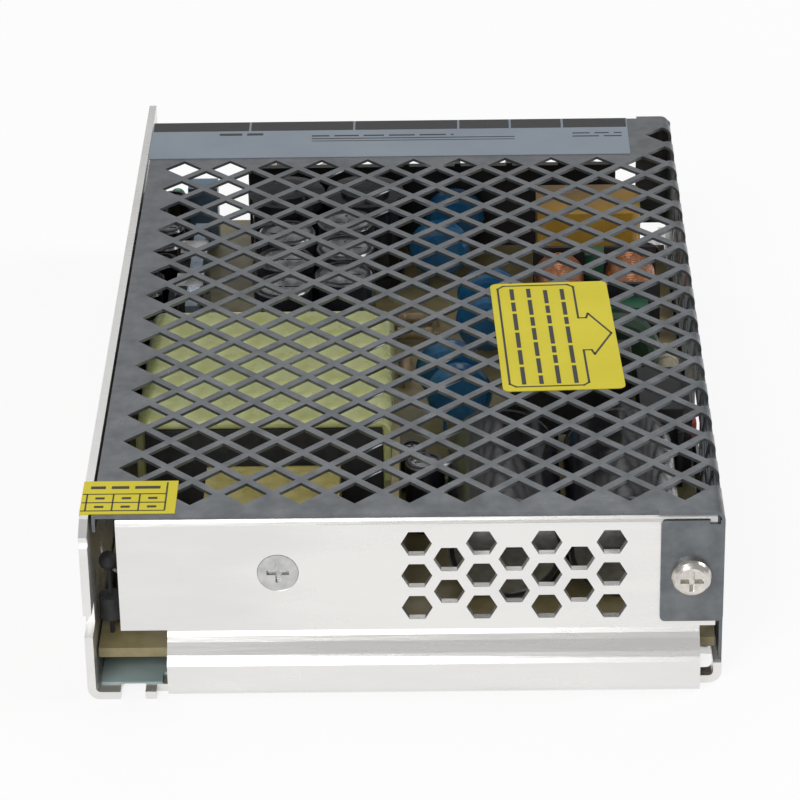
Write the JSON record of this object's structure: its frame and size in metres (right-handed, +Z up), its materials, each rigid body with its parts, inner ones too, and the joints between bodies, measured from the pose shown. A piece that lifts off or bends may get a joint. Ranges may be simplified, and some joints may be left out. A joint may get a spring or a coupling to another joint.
{
  "type": "enclosed switching power supply",
  "caption": "Enclosed switching power supply: bent aluminium chassis, perforated mesh cover, vented end plate, screw terminal block and a populated circuit board.",
  "frame": {"origin": "middle of the underside of the chassis", "axes": "+Y along the case from the vented end plate to the screw terminals, +Z up out of the mesh cover, +X towards the cover's side wall"},
  "size_m": [0.0971, 0.159, 0.0301],
  "materials": {
    "chassis_alu": "satin sheet",
    "cover_steel": "plated sheet",
    "board": "glass-fibre laminate",
    "film": "thin clear film",
    "zinc": "zinc plated",
    "nickel": "nickel plated",
    "black_plastic": "moulded",
    "black_epoxy": "moulded epoxy",
    "pad_grey": "silicone pad",
    "slider_red": "moulded",
    "trim_blue": "moulded",
    "trim_white": "moulded",
    "led_green": "tinted epoxy",
    "tape_yellow": "polyester tape",
    "ferrite": "sintered ferrite",
    "sink": "anodised",
    "sleeve": "shrink sleeve",
    "blue_coat": "epoxy dip",
    "film_amber": "potted box",
    "core_green": "coated ferrite",
    "copper": "enamelled wire",
    "fuse_body": "ceramic tube",
    "thermistor": "coated disc",
    "wound_olive": "taped winding",
    "label_print": "printed film",
    "sticker_yellow": "printed film",
    "resistor_tan": "lacquered body"
  },
  "bodies": {
    "supply": {"base_chassis": "chassis_alu", "mesh_cover": "cover_steel", "circuit_board": "board", "insulation_sheet": "film", "board_standoffs": "zinc", "board_screws": "zinc", "cover_screw": "nickel", "clamp_screw": "zinc", "transistor_pad": "pad_grey", "power_transistor": "black_epoxy", "clamp_bar": "zinc", "terminal_block": "black_plastic", "terminal_plates": "nickel", "terminal_screws": "nickel", "selector_body": "black_plastic", "trimmer_body": "trim_blue", "status_led": "led_green", "transformer_core": "ferrite", "transformer_tape": "tape_yellow", "transformer_bobbin": "black_plastic", "sink_plate": "sink", "output_diodes": "black_epoxy", "diode_clips": "zinc", "output_capacitors": "sleeve", "output_chokes": "sleeve", "blue_capacitors": "blue_coat", "film_capacitor": "film_amber", "choke_core": "core_green", "choke_windings": "copper", "choke_base": "black_plastic", "line_fuse": "fuse_body", "fuse_clips": "nickel", "inrush_thermistor": "thermistor", "bridge_rectifier": "black_epoxy", "bulk_capacitors": "sleeve", "drive_transformer": "wound_olive", "control_board": "board", "signal_capacitors": "sleeve", "bead_lead": "ferrite", "axial_parts": "resistor_tan", "rating_label": "label_print", "notice_sticker": "sticker_yellow", "seal_sticker": "sticker_yellow"},
    "selector_slider": {"selector_slider": "slider_red"},
    "trimmer_rotor": {"trimmer_rotor": "trim_white"}
  },
  "joints": [
    {"name": "selector_slide", "type": "slide", "parent": "supply", "child": "selector_slider", "axis": [0, 1, 0], "range_m": [0, 0.004]},
    {"name": "trimmer_turn", "type": "hinge", "parent": "supply", "child": "trimmer_rotor", "pos_m": [-0.0384, 0.0718, 0.0152], "axis": [0, 1, 0], "range_deg": [-130, 130]}
  ]
}
